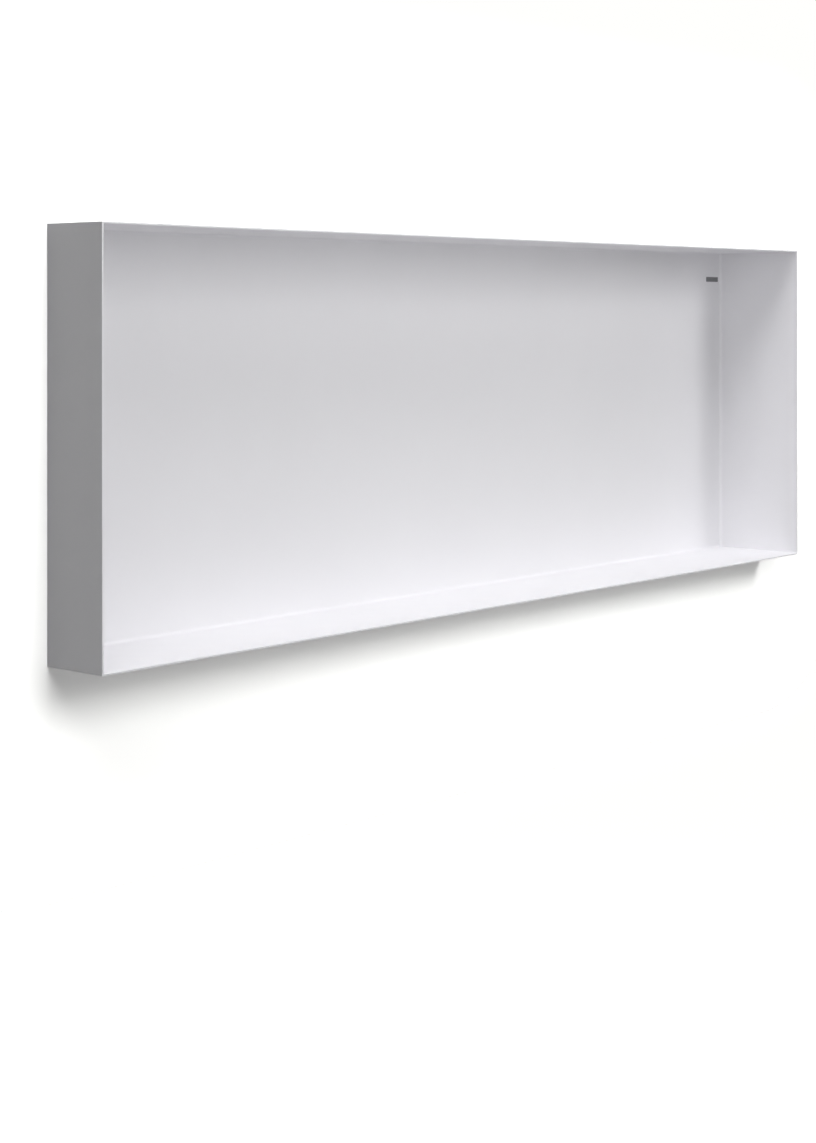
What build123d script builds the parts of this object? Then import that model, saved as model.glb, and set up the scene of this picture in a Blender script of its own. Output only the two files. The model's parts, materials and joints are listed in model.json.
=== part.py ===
from build123d import *
import os

# Shower niche insert: an open-fronted box folded from one sheet of metal and coated white.
# The blank is a cross: the back panel with four flaps, which are folded forward into walls. The walls meet
# in welded seams that are ground smooth, so the finished box is one piece.
# Frame: X to the right, Z up, open front towards -Y. The origin is the middle of the back panel's outside.

# Driving dimensions, in millimetres
width = 900.0  # outside, left to right
height = 300.0  # outside, bottom to top
depth = 90.0  # outside, front rim to back panel
sheet = 1.5  # thickness of the coated sheet
bend_radius = 2.5  # inside radius of the four folds round the back panel
seam_round = 0.6  # round ground on the outside of the four corner seams
weld_hollow = 1.0  # hollow round that the weld leaves on the inside of those seams
rim_round = 0.3  # round on the two edges of the bare front rim
mouth_overrun = 5.0  # how far the shape of the hollow runs out past the front rim


def folded_block(wide, high, front, back, fold_radius, seam_radius):
    """Solid block with its four back edges folded round and its four front-to-back corners rounded.

    The block is what three views have in common. The side view and the plan are rectangles with their two
    back corners rounded, and where those folds meet they run into each other in a mitre, as folded flaps do.
    The front view is a rectangle with all its corners rounded.
    """
    deep = back - front
    middle = (front + back) / 2
    with BuildPart() as block:
        with BuildSketch(Plane.YZ) as side_view:
            with Locations((middle, 0)):
                Rectangle(deep, high)
            fillet(side_view.vertices().group_by(Axis.X)[-1], fold_radius)
        extrude(amount=wide / 2, both=True)

        with BuildSketch(Plane.XY) as plan:
            with Locations((0, middle)):
                Rectangle(wide, deep)
            fillet(plan.vertices().group_by(Axis.Y)[-1], fold_radius)
        extrude(amount=high / 2, both=True, mode=Mode.INTERSECT)

        with BuildSketch(Plane.XZ.offset(-back)):
            RectangleRounded(wide, high, seam_radius)
        extrude(amount=deep, mode=Mode.INTERSECT)
    return block.part


# The outside of the box, and the hollow one sheet thickness inside it with the same bend centres
outside = folded_block(width, height, -depth, 0, bend_radius + sheet, seam_round)
hollow = folded_block(
    width - 2 * sheet,
    height - 2 * sheet,
    -depth - mouth_overrun,
    -sheet,
    bend_radius,
    weld_hollow,
)

with BuildPart() as niche_box:
    add(outside)
    add(hollow, mode=Mode.SUBTRACT)
    # The bare edge of the sheet, left as the front rim, has its inner and outer edges taken off
    front_rim = niche_box.faces().sort_by(Axis.Y)[0]
    fillet(front_rim.edges(), rim_round)

niche_box.part.label = "niche_box"

os.makedirs("parts", exist_ok=True)
export_step(niche_box.part, "parts/niche_box.step")
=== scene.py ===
import json
import math

import bpy
import numpy as np
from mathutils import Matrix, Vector


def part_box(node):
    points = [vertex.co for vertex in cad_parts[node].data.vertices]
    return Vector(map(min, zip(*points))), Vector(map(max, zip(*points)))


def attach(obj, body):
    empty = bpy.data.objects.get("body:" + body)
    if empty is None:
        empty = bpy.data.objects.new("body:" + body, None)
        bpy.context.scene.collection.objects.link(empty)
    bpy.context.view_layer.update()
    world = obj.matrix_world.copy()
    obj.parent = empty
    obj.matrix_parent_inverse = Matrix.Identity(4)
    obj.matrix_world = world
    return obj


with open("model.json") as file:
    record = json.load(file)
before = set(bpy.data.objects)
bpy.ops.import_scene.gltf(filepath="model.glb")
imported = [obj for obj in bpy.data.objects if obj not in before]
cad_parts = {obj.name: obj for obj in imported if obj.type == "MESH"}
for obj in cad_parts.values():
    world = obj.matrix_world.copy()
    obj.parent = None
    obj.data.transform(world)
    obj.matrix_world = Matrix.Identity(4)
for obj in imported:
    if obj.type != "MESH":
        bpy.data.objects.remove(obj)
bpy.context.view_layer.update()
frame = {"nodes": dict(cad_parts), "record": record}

# The niche box, from the frame, in metres
BOX_LOW, BOX_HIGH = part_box("niche_box")
MOUNTS = {mount["name"]: mount for mount in frame["record"]["mounts"]}
SHEET = MOUNTS["shelf"]["pos_m"][2] - BOX_LOW.z
WALL_FACE = MOUNTS["wall_recess"]["pos_m"][1]
BACK_PANEL = BOX_HIGH.y - SHEET

# The photograph's view: its height and focal length in pixels, the row of the horizon, and the eye
PHOTO_HIGH = 1143
FOCAL_PX = 2081.3
HORIZON_ROW = 309.4
EYE = (-1.3589, -1.1351, 0.0918)
HEADING = math.radians(49.375)  # from straight at the wall, towards the right
SENSOR_MM = 36.0
NEAR_CLIP, FAR_CLIP = 0.05, 200.0

# The powder coat. Its noises are in cycles per metre
COAT_DARKER, COAT_PALER = (0.842, 0.837, 0.862, 1.0), (0.858, 0.853, 0.878, 1.0)
COAT_SMOOTHEST, COAT_ROUGHEST = 0.36, 0.44
COAT_SPECULAR = 0.45
CLOUDS, GLOSS, PEEL, GRAIN = 9.0, 60.0, 700.0, 2600.0
GRAIN_SHARE = 0.35  # height of the grain, as a share of the orange peel's
PEEL_STRENGTH = 0.35
PEEL_HEIGHT = 0.00006

# The blank plate in the upper right corner of the back panel
PLATE_WIDE, PLATE_HIGH, PLATE_THICK = 0.0215, 0.0048, 0.0003
PLATE_CORNER = 0.0007  # radius of its corners
PLATE_EDGE = 0.00015  # radius of its front edge
PLATE_FROM_RIGHT = 0.0155  # its middle, from the inside of the right wall
PLATE_FROM_TOP = 0.0265  # its middle, from the inside of the top
PLATE_CORNER_POINTS, PLATE_EDGE_POINTS = 9, 6
PLATE_DARKER, PLATE_PALER = (0.19, 0.19, 0.195, 1.0), (0.26, 0.26, 0.27, 1.0)
PLATE_SMOOTHEST, PLATE_ROUGHEST = 0.40, 0.55
PLATE_METALLIC = 0.6
BRUSHING = 5000.0  # cycles per metre across the brushing
BRUSHING_ALONG = 0.03  # share of those cycles along it

# The range that most of a noise texture's values lie in
NOISE_LOW, NOISE_HIGH = 0.3, 0.7

# The studio. A tone above 1 makes the wall white in the soft light, as in an overexposed picture
WALL_SOLID = 0.03  # how far round the box the wall is solid
WALL_FADED = 0.20  # how far round the box it has faded out
WALL_TURN = 0.016  # how far it comes forward from left to right, so that the right side sees it from behind
WALL_TONE, WALL_BOUNCE = 2.2, 0.28
FLOOR_DROP = 1.0
FLOOR_REACH = 40.0
FLOOR_TONE, FLOOR_GLOW, FLOOR_BOUNCE = 0.2, 0.94, 0.35
STUDIO_BLUE = 0.985  # blue in the studio's slightly warm white

# The light: the even light from all round, and the far key lamp's place, angle in degrees and strength
EVEN_LIGHT = 0.08
KEY_PLACE, KEY_ANGLE, KEY_STRENGTH = (-0.87, -0.61, 1.70), 25.0, 0.845

# Soft lamps: name, place, aim, size in metres, power in watts, and whether the gloss shows them
SOFT_LAMPS = (
    ("overhead", (-0.32, -0.85, 1.8), (0.0, -0.05, 0.0), (0.7, 1.0), 11.6, True),
    ("front_left", (-0.35, -0.9, 0.4), (0.0, -0.05, 0.0), (0.5, 0.5), 1.95, True),
    ("front_right", (0.75, -0.9, 0.42), (0.3, 0.0, 0.0), (0.3, 0.4), 2.65, False),
    ("upper_right", (0.92, -0.9, 0.65), (0.3, 0.0, 0.0), (0.45, 0.4), 1.48, False),
    ("front_fill", (-0.07, -0.5, 0.05), (-0.05, -0.05, -0.03), (0.8, 0.25), 0.68, True),
    ("behind", (0.5, 1.6, 0.35), (0.0, 0.0, 0.0), (1.0, 1.0), 18.0, False),
    ("beside_right", (2.2, 0.25, 0.35), (0.45, -0.03, 0.0), (1.0, 1.0), 7.0, True),
)


def as_points(x, y, z):
    """List of points from the three coordinates of a grid."""
    return np.stack([x, y, z], axis=-1).reshape(-1, 3)


def new_object(name, points, faces, material):
    """Mesh object at the origin from an array of points and a list of faces."""
    mesh = bpy.data.meshes.new(name)
    mesh.from_pydata(points.tolist(), [], faces)
    mesh.materials.append(material)
    mesh.update()
    piece = bpy.data.objects.new(name, mesh)
    bpy.context.scene.collection.objects.link(piece)
    return piece


def new_material(name):
    """Empty node material, with its node tree and output node."""
    material = bpy.data.materials.new(name)
    material.use_nodes = True
    tree = material.node_tree
    tree.nodes.clear()
    return material, tree, tree.nodes.new("ShaderNodeOutputMaterial")


def calculate(tree, operation, *values):
    """Math node on two or three values, each a socket or a number."""
    node = tree.nodes.new("ShaderNodeMath")
    node.operation = operation
    for value, socket in zip(values, node.inputs):
        if isinstance(value, (int, float)):
            socket.default_value = value
        else:
            tree.links.new(value, socket)
    return node.outputs["Value"]


def noise(tree, vector, scale, detail):
    """Value of a noise texture, with its scale in cycles per metre."""
    texture = tree.nodes.new("ShaderNodeTexNoise")
    texture.inputs["Scale"].default_value = scale
    texture.inputs["Detail"].default_value = detail
    tree.links.new(vector, texture.inputs["Vector"])
    return texture.outputs["Fac"]


def spread(tree, value, low, high):
    """Noise value carried to the range low to high."""
    ranged = tree.nodes.new("ShaderNodeMapRange")
    ranged.inputs["From Min"].default_value = NOISE_LOW
    ranged.inputs["From Max"].default_value = NOISE_HIGH
    ranged.inputs["To Min"].default_value = low
    ranged.inputs["To Max"].default_value = high
    tree.links.new(value, ranged.inputs["Value"])
    return ranged.outputs["Result"]


def tinted(tree, value, darker, paler):
    """Colour that goes from darker to paler with a noise value."""
    tint = tree.nodes.new("ShaderNodeMix")
    tint.data_type = "RGBA"
    tint.inputs["A"].default_value = darker
    tint.inputs["B"].default_value = paler
    tree.links.new(spread(tree, value, 0.0, 1.0), tint.inputs["Factor"])
    return tint.outputs["Result"]


def white_powder_coat():
    """Satin white powder coat: a fine orange peel, faint cloudiness and a slightly uneven gloss."""
    material, tree, output = new_material("white_powder_coat")
    links = tree.links
    shader = tree.nodes.new("ShaderNodeBsdfPrincipled")
    shader.inputs["Specular IOR Level"].default_value = COAT_SPECULAR
    links.new(shader.outputs["BSDF"], output.inputs["Surface"])
    place = tree.nodes.new("ShaderNodeTexCoord").outputs["Object"]

    clouds = noise(tree, place, CLOUDS, 3.0)
    links.new(tinted(tree, clouds, COAT_DARKER, COAT_PALER), shader.inputs["Base Color"])
    gloss = noise(tree, place, GLOSS, 2.0)
    links.new(spread(tree, gloss, COAT_SMOOTHEST, COAT_ROUGHEST), shader.inputs["Roughness"])

    peel = noise(tree, place, PEEL, 1.5)
    grain = noise(tree, place, GRAIN, 1.0)
    bump = tree.nodes.new("ShaderNodeBump")
    bump.inputs["Strength"].default_value = PEEL_STRENGTH
    bump.inputs["Distance"].default_value = PEEL_HEIGHT
    links.new(calculate(tree, "MULTIPLY_ADD", grain, GRAIN_SHARE, peel), bump.inputs["Height"])
    links.new(bump.outputs["Normal"], shader.inputs["Normal"])
    return material


def dark_plate_metal():
    """Dark grey anodised plate with a fine lengthwise brushing."""
    material, tree, output = new_material("dark_anodised_plate")
    links = tree.links
    shader = tree.nodes.new("ShaderNodeBsdfPrincipled")
    shader.inputs["Metallic"].default_value = PLATE_METALLIC
    links.new(shader.outputs["BSDF"], output.inputs["Surface"])
    place = tree.nodes.new("ShaderNodeTexCoord").outputs["Object"]
    along = tree.nodes.new("ShaderNodeMapping")
    along.inputs["Scale"].default_value = (BRUSHING_ALONG, 1.0, 1.0)
    links.new(place, along.inputs["Vector"])
    brushing = noise(tree, along.outputs["Vector"], BRUSHING, 2.0)
    links.new(tinted(tree, brushing, PLATE_DARKER, PLATE_PALER), shader.inputs["Base Color"])
    links.new(spread(tree, brushing, PLATE_SMOOTHEST, PLATE_ROUGHEST), shader.inputs["Roughness"])
    return material


def camera_share(tree):
    """1 for what the camera sees, straight or through gloss and glass, and 0 for light on its way."""
    path = tree.nodes.new("ShaderNodeLightPath")
    share = path.outputs["Is Camera Ray"]
    for kind in ("Is Glossy Ray", "Is Transmission Ray"):
        share = calculate(tree, "MAXIMUM", share, path.outputs[kind])
    return share


def studio_paint(tree, seen, glow, bounced):
    """Matt pale paint.

    A picture shows the tone seen and an even glow, and other light gets the tone bounced.
    """
    links = tree.links
    matt = tree.nodes.new("ShaderNodeBsdfDiffuse")
    matt.inputs["Color"].default_value = (seen, seen, seen * STUDIO_BLUE, 1.0)
    even = tree.nodes.new("ShaderNodeEmission")
    even.inputs["Color"].default_value = (1.0, 1.0, STUDIO_BLUE, 1.0)
    even.inputs["Strength"].default_value = glow
    shown = tree.nodes.new("ShaderNodeAddShader")
    links.new(matt.outputs["BSDF"], shown.inputs[0])
    links.new(even.outputs["Emission"], shown.inputs[1])
    lighting = tree.nodes.new("ShaderNodeBsdfDiffuse")
    lighting.inputs["Color"].default_value = (bounced, bounced, bounced, 1.0)
    paint = tree.nodes.new("ShaderNodeMixShader")
    links.new(camera_share(tree), paint.inputs["Fac"])
    links.new(lighting.outputs["BSDF"], paint.inputs[1])
    links.new(shown.outputs["Shader"], paint.inputs[2])
    return paint.outputs["Shader"]


def wall_paint():
    """Wall paint that is solid round the box and fades out further away.

    With dx and dz the distances outside the box's outline, it fades with the length of (dx, dz). It isn't
    there from behind, so the back of the object can be looked at, and it lets the lamps' light through.
    """
    material, tree, output = new_material("wall_paint")
    links = tree.links
    coordinates = tree.nodes.new("ShaderNodeTexCoord")
    place = tree.nodes.new("ShaderNodeSeparateXYZ")
    links.new(coordinates.outputs["Object"], place.inputs["Vector"])
    outside = tree.nodes.new("ShaderNodeCombineXYZ")
    for axis, half in (("X", BOX_HIGH.x), ("Z", BOX_HIGH.z)):
        from_middle = calculate(tree, "ABSOLUTE", place.outputs[axis])
        away = calculate(tree, "SUBTRACT", from_middle, half)
        links.new(calculate(tree, "MAXIMUM", away, 0.0), outside.inputs[axis])
    distance = tree.nodes.new("ShaderNodeVectorMath")
    distance.operation = "LENGTH"
    links.new(outside.outputs["Vector"], distance.inputs[0])
    fade = tree.nodes.new("ShaderNodeMapRange")
    fade.interpolation_type = "SMOOTHSTEP"
    fade.inputs["From Min"].default_value = WALL_SOLID
    fade.inputs["From Max"].default_value = WALL_FADED
    links.new(distance.outputs["Value"], fade.inputs["Value"])
    absent = fade.outputs["Result"]
    for reason in (
        tree.nodes.new("ShaderNodeNewGeometry").outputs["Backfacing"],
        tree.nodes.new("ShaderNodeLightPath").outputs["Is Shadow Ray"],
    ):
        absent = calculate(tree, "MAXIMUM", absent, reason)
    nothing = tree.nodes.new("ShaderNodeBsdfTransparent")
    faded = tree.nodes.new("ShaderNodeMixShader")
    links.new(absent, faded.inputs["Fac"])
    links.new(studio_paint(tree, WALL_TONE, 0.0, WALL_BOUNCE), faded.inputs[1])
    links.new(nothing.outputs["BSDF"], faded.inputs[2])
    links.new(faded.outputs["Shader"], output.inputs["Surface"])
    return material


def floor_paint():
    """Pale floor paint."""
    material, tree, output = new_material("floor_paint")
    paint = studio_paint(tree, FLOOR_TONE, FLOOR_GLOW, FLOOR_BOUNCE)
    tree.links.new(paint, output.inputs["Surface"])
    return material


def blank_plate():
    """Thin plate with rounded corners and a soft front edge.

    Outline u runs round a rounded rectangle: a corner's centre plus its radius times (cos u, sin u).
    Section v runs from the back up the side, then a quarter round of PLATE_EDGE on to the front. A point
    lies at the outline drawn in by the section's inset, and stands off the panel by the section's height.
    """
    middle = (BOX_HIGH.x - SHEET - PLATE_FROM_RIGHT, BOX_HIGH.z - SHEET - PLATE_FROM_TOP)
    around = 4 * PLATE_CORNER_POINTS
    turn = np.linspace(0, math.tau, around, endpoint=False) + math.tau / (2 * around)
    corner_x = np.sign(np.cos(turn)) * (PLATE_WIDE / 2 - PLATE_CORNER)
    corner_z = np.sign(np.sin(turn)) * (PLATE_HIGH / 2 - PLATE_CORNER)
    quarter = np.linspace(0, math.tau / 4, PLATE_EDGE_POINTS)
    inset = np.concatenate([[0.0], PLATE_EDGE * (1 - np.cos(quarter))])
    height = np.concatenate([[0.0], PLATE_THICK - PLATE_EDGE + PLATE_EDGE * np.sin(quarter)])
    reach = PLATE_CORNER - inset[:, None]
    x = middle[0] + corner_x + reach * np.cos(turn)
    z = middle[1] + corner_z + reach * np.sin(turn)
    y = np.broadcast_to(BACK_PANEL - height[:, None], x.shape)

    index = np.arange(x.size).reshape(x.shape)
    following = np.roll(index, -1, axis=1)
    corners = [index[:-1], following[:-1], following[1:], index[1:]]
    sides = np.stack(corners, axis=-1).reshape(-1, 4)
    faces = sides.tolist() + [index[-1].tolist(), index[0][::-1].tolist()]
    plate = new_object("blank_plate", as_points(x, y, z), faces, dark_plate_metal())
    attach(plate, "root")


def studio_wall():
    """Plain wall with an opening the size of the box: a 4 x 4 grid of points without its middle face.

    Its depth y runs in a straight line from WALL_FACE at the box's left end to WALL_FACE - WALL_TURN at
    its right end.
    """
    across = np.array([BOX_LOW.x - WALL_FADED, BOX_LOW.x, BOX_HIGH.x, BOX_HIGH.x + WALL_FADED])
    upward = np.array([BOX_LOW.z - WALL_FADED, BOX_LOW.z, BOX_HIGH.z, BOX_HIGH.z + WALL_FADED])
    x, z = np.meshgrid(across, upward)
    y = WALL_FACE - WALL_TURN * (x - BOX_LOW.x) / (BOX_HIGH.x - BOX_LOW.x)
    index = np.arange(x.size).reshape(x.shape)
    corners = [index[:-1, :-1], index[:-1, 1:], index[1:, 1:], index[1:, :-1]]
    faces = np.stack(corners, axis=-1).reshape(-1, 4).tolist()
    del faces[len(faces) // 2]
    new_object("studio_wall", as_points(x, y, z), faces, wall_paint())


def studio_floor():
    """Flat square floor under the box."""
    x, y = np.meshgrid([-FLOOR_REACH, FLOOR_REACH], [-FLOOR_REACH, FLOOR_REACH])
    points = as_points(x, y, np.full_like(x, -FLOOR_DROP))
    new_object("studio_floor", points, [[0, 1, 3, 2]], floor_paint())


def add_light(light, place, aim):
    """Puts a light at a place, turned towards the point it is aimed at, where no picture shows it."""
    holder = bpy.data.objects.new(light.name, light)
    holder.location = place
    holder.rotation_mode = "QUATERNION"
    holder.rotation_quaternion = (Vector(aim) - Vector(place)).to_track_quat("-Z", "Y")
    holder.visible_camera = False
    bpy.context.scene.collection.objects.link(holder)
    return holder


def softbox(name, place, aim, size, power, highlight):
    """Soft rectangular lamp, with or without a highlight in the gloss."""
    light = bpy.data.lights.new(name, "AREA")
    light.shape = "RECTANGLE"
    light.size, light.size_y = size
    light.energy = power
    add_light(light, place, aim).visible_glossy = highlight


def far_key(name, place, width, strength):
    """Large lamp far away: parallel light that is spread over an angle, the same all over the scene."""
    light = bpy.data.lights.new(name, "SUN")
    light.angle = math.radians(width)
    light.energy = strength
    add_light(light, place, (0.0, 0.0, 0.0))


def studio_world(strength):
    """Even light from all round, and a white background for the camera."""
    world = bpy.data.worlds.new("studio")
    world.use_nodes = True
    tree = world.node_tree
    tree.nodes.clear()
    output = tree.nodes.new("ShaderNodeOutputWorld")
    lighting = tree.nodes.new("ShaderNodeBackground")
    lighting.inputs["Strength"].default_value = strength
    lighting.inputs["Color"].default_value = (1.0, 1.0, 1.0, 1.0)
    shown = tree.nodes.new("ShaderNodeBackground")
    shown.inputs["Strength"].default_value = 1.0
    shown.inputs["Color"].default_value = (1.0, 1.0, STUDIO_BLUE, 1.0)
    mixed = tree.nodes.new("ShaderNodeMixShader")
    tree.links.new(camera_share(tree), mixed.inputs["Fac"])
    tree.links.new(lighting.outputs["Background"], mixed.inputs[1])
    tree.links.new(shown.outputs["Background"], mixed.inputs[2])
    tree.links.new(mixed.outputs["Shader"], output.inputs["Surface"])
    bpy.context.scene.world = world


def photo_camera():
    """Level camera with the photograph's focal length, and a shift that puts the horizon on its row."""
    view = bpy.data.cameras.new("photo_camera")
    view.sensor_width = SENSOR_MM
    view.lens = FOCAL_PX / PHOTO_HIGH * SENSOR_MM
    view.shift_y = (HORIZON_ROW - PHOTO_HIGH / 2) / PHOTO_HIGH
    view.clip_start, view.clip_end = NEAR_CLIP, FAR_CLIP
    holder = bpy.data.objects.new("photo_camera", view)
    holder.location = EYE
    holder.rotation_euler = (math.tau / 4, 0.0, -HEADING)
    bpy.context.scene.collection.objects.link(holder)
    bpy.context.scene.camera = holder


box = frame["nodes"]["niche_box"]
box.data.materials.clear()
box.data.materials.append(white_powder_coat())
blank_plate()

studio_wall()
studio_floor()
studio_world(EVEN_LIGHT)
far_key("key_high_left", KEY_PLACE, KEY_ANGLE, KEY_STRENGTH)
for lamp in SOFT_LAMPS:
    softbox(*lamp)
photo_camera()

bpy.context.scene.view_settings.view_transform = "Standard"
